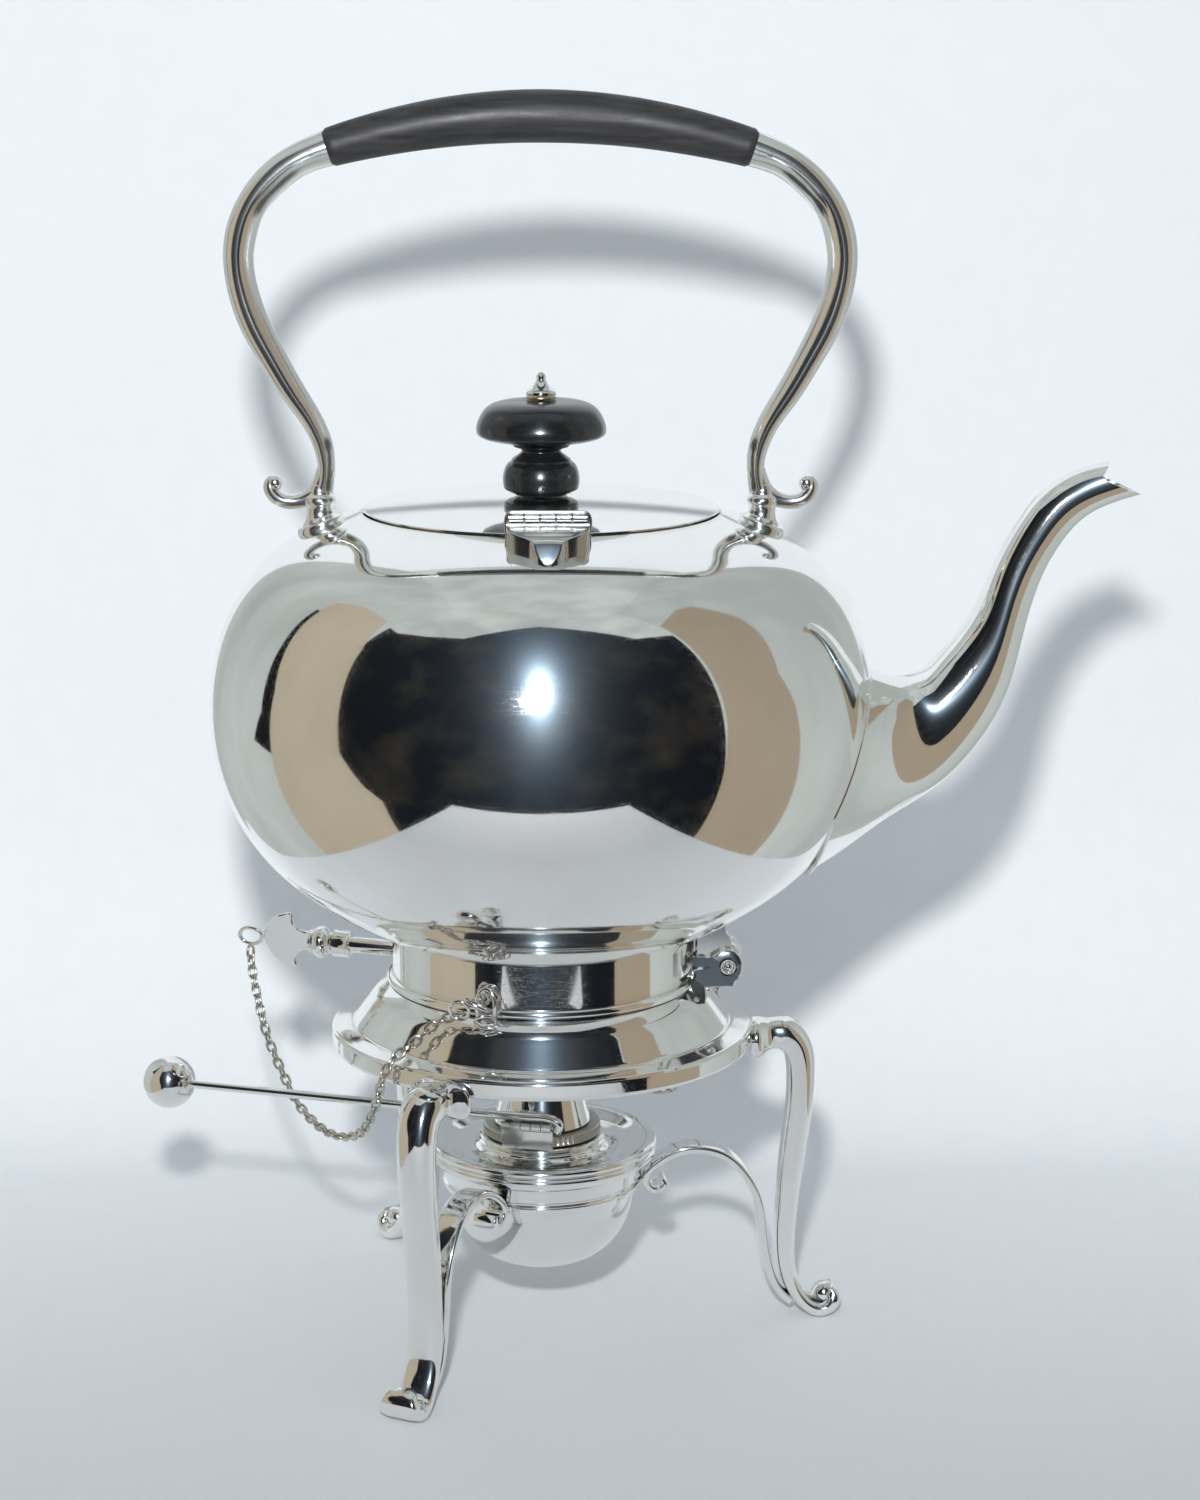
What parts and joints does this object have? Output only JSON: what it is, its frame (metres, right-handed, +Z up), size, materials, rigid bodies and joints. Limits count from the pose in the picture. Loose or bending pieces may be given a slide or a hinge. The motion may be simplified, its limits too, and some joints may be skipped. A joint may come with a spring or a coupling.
{
  "type": "spirit kettle on stand",
  "caption": "Tilting silver kettle with a hinged lid, locked by chained pins on a legged stand, over a spirit burner with a hinged snuffer",
  "frame": {"origin": "centre of the bounding box's bottom face, on the table, so the kettle's upright axis stands 24.35 mm towards -X", "axes": "+Z up, +X towards the spout, +Y away from the side with the lid's hinge"},
  "size_m": [0.2676, 0.1764, 0.3352],
  "materials": {
    "silver": "polished silver, fine scratches, light tarnish in the creases",
    "black_horn": "turned and polished black horn or ebonised wood",
    "black_wood": "satin black ebonised wood",
    "brass": "worn, dull",
    "wick_cotton": "woven cotton"
  },
  "bodies": {
    "stand": {"stand_collar": "silver", "stand_flange": "silver", "lug_ear_near": "silver", "lug_ear_far": "silver", "leg_1": "silver", "leg_2": "silver", "leg_3": "silver", "strap_1": "silver", "strap_2": "silver", "strap_3": "silver", "burner_ring": "silver", "staple_front": "silver", "staple_back": "silver", "chain_lock_pin": "silver", "chain_lug_pin": "silver"},
    "kettle": {"kettle_body": "silver", "spout": "silver", "lug_tongue": "silver", "lock_block": "silver", "handle_arm_left": "silver", "handle_arm_right": "silver", "handle_base_left": "silver", "handle_base_right": "silver", "grip": "black_wood", "grip_rivet_left": "silver", "grip_rivet_right": "silver", "body_hinge_leaf": "silver", "lid_hinge_pin": "silver"},
    "lid": {"lid": "silver", "lid_bezel": "silver", "lid_hinge_leaf": "silver", "knob_baluster": "black_horn", "knob_cap": "black_horn", "knob_washer": "brass", "knob_finial": "silver", "knob_stud": "silver", "knob_nut": "brass"},
    "lug_pin": {"lug_pin": "silver"},
    "lock_pin": {"lock_pin": "silver"},
    "burner": {"burner_bowl": "silver", "burner_plate": "silver", "milled_ring": "brass", "wick_tube": "brass", "wick": "wick_cotton", "burner_hinge_leaf": "silver", "snuffer_hinge_pin": "silver"},
    "snuffer": {"snuffer_cap": "silver", "snuffer_hinge_leaf": "silver", "lever_rod": "silver", "lever_ball": "silver"}
  },
  "joints": [
    {"name": "kettle_tilt", "type": "hinge", "parent": "stand", "child": "kettle", "pos_m": [0.02605, 0, 0.1019], "axis": [0, 1, 0], "range_deg": [0, 60]},
    {"name": "lid_hinge", "type": "hinge", "parent": "kettle", "child": "lid", "pos_m": [-0.02265, -0.04838, 0.2314], "axis": [1, 0, 0], "range_deg": [0, 105]},
    {"name": "lug_pin_slide", "type": "slide", "parent": "stand", "child": "lug_pin", "axis": [0, 1, 0], "range_m": [0, 0.018], "deforming": ["chain_lug_pin"]},
    {"name": "lock_pin_slide", "type": "slide", "parent": "stand", "child": "lock_pin", "axis": [-0.9511, 0.309, 0], "range_m": [-0.0132, 0.004], "deforming": ["chain_lock_pin"]},
    {"name": "burner_lift", "type": "slide", "parent": "stand", "child": "burner", "axis": [0, 0, 1], "range_m": [0, 0.012]},
    {"name": "snuffer_hinge", "type": "hinge", "parent": "burner", "child": "snuffer", "pos_m": [-0.02862, -0.01851, 0.0617], "axis": [0.9744, -0.225, 0], "range_deg": [0, 110]}
  ]
}
